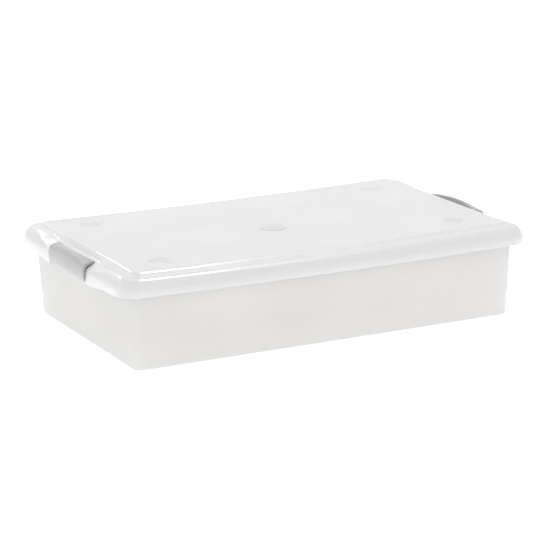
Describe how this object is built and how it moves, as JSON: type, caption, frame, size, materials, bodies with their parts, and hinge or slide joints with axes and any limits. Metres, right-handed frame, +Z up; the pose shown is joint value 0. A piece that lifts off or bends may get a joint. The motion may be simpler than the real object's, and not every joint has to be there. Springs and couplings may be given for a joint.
{
  "type": "under-bed storage box",
  "caption": "Low translucent storage tub on small recessed wheels, with a stepped lift-off lid held by a swinging clip handle at each end.",
  "frame": {"origin": "on the floor under the middle of the box", "axes": "+X along the box's long side, +Y across it towards the rear, +Z up"},
  "size_m": [0.7926, 0.4892, 0.175],
  "materials": {
    "tub_plastic": "frosted translucent polypropylene, satin, moulded draft walls",
    "lid_plastic": "frosted translucent polypropylene, glossier on its rolled edge",
    "clip_plastic": "opaque mid-grey moulded plastic, satin",
    "wheel_plastic": "grey moulded plastic, satin",
    "axle_steel": "plain drawn steel pin"
  },
  "bodies": {
    "tub": {"tub": "tub_plastic", "front_left_axle": "axle_steel", "front_right_axle": "axle_steel", "rear_left_axle": "axle_steel", "rear_right_axle": "axle_steel"},
    "lid": {"lid": "lid_plastic"},
    "left_clip": {"left_clip": "clip_plastic"},
    "right_clip": {"right_clip": "clip_plastic"},
    "front_left_wheel": {"front_left_wheel": "wheel_plastic"},
    "front_right_wheel": {"front_right_wheel": "wheel_plastic"},
    "rear_left_wheel": {"rear_left_wheel": "wheel_plastic"},
    "rear_right_wheel": {"rear_right_wheel": "wheel_plastic"}
  },
  "joints": [
    {"name": "lid_lift", "type": "slide", "parent": "tub", "child": "lid", "axis": [0, 0, 1], "range_m": [0, 0.25]},
    {"name": "right_clip_hinge", "type": "hinge", "parent": "tub", "child": "right_clip", "pos_m": [0.382, 0, 0.1355], "axis": [0, 1, 0], "range_deg": [0, 140]},
    {"name": "left_clip_hinge", "type": "hinge", "parent": "tub", "child": "left_clip", "pos_m": [-0.382, 0, 0.1355], "axis": [0, -1, 0], "range_deg": [0, 140]},
    {"name": "front_left_wheel_spin", "type": "hinge", "parent": "tub", "child": "front_left_wheel", "pos_m": [-0.286, -0.152, 0.013], "axis": [0, 1, 0], "continuous": true},
    {"name": "front_right_wheel_spin", "type": "hinge", "parent": "tub", "child": "front_right_wheel", "pos_m": [0.286, -0.152, 0.013], "axis": [0, 1, 0], "continuous": true},
    {"name": "rear_left_wheel_spin", "type": "hinge", "parent": "tub", "child": "rear_left_wheel", "pos_m": [-0.286, 0.152, 0.013], "axis": [0, 1, 0], "continuous": true},
    {"name": "rear_right_wheel_spin", "type": "hinge", "parent": "tub", "child": "rear_right_wheel", "pos_m": [0.286, 0.152, 0.013], "axis": [0, 1, 0], "continuous": true}
  ]
}
